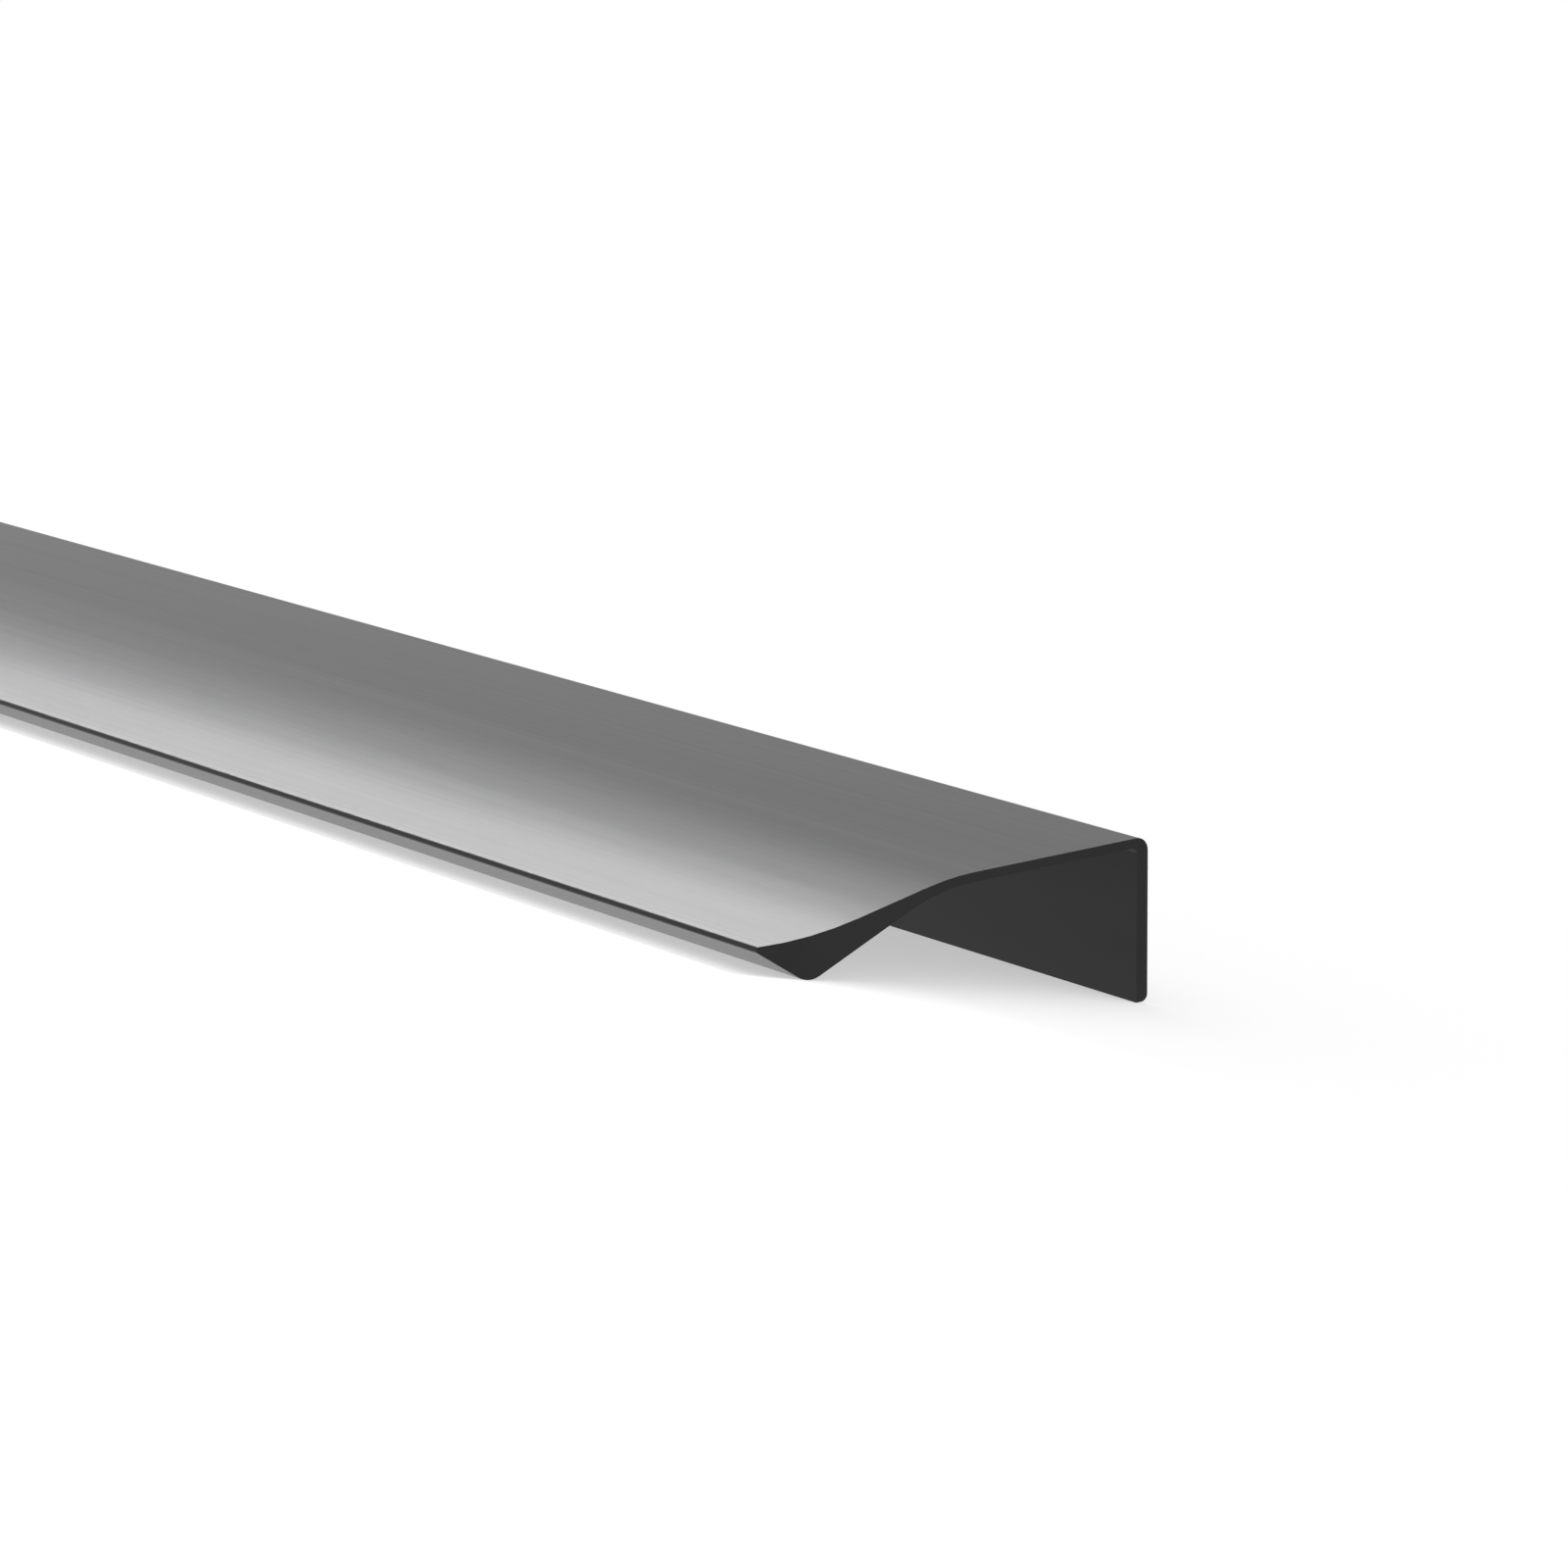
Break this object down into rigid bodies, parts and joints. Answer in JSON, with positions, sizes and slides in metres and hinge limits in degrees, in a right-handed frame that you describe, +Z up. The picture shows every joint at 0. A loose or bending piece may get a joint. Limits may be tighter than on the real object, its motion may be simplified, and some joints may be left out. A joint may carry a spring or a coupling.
{
  "type": "edge pull cabinet handle",
  "caption": "Extruded edge-pull handle: a flat plate over a door's edge, a screw flange behind it and a dipped, wedge-shaped finger lip in front.",
  "frame": {"origin": "on the floor, at the middle of the profile's footprint as it lies at rest", "axes": "+X along the profile's length, -Y towards the finger lip, +Z up from the floor it rests on"},
  "size_m": [0.2, 0.0414, 0.0135],
  "materials": {
    "black_anodised_aluminium": "satin black anodised"
  },
  "bodies": {
    "root": {"handle_profile": "black_anodised_aluminium"}
  },
  "joints": []
}
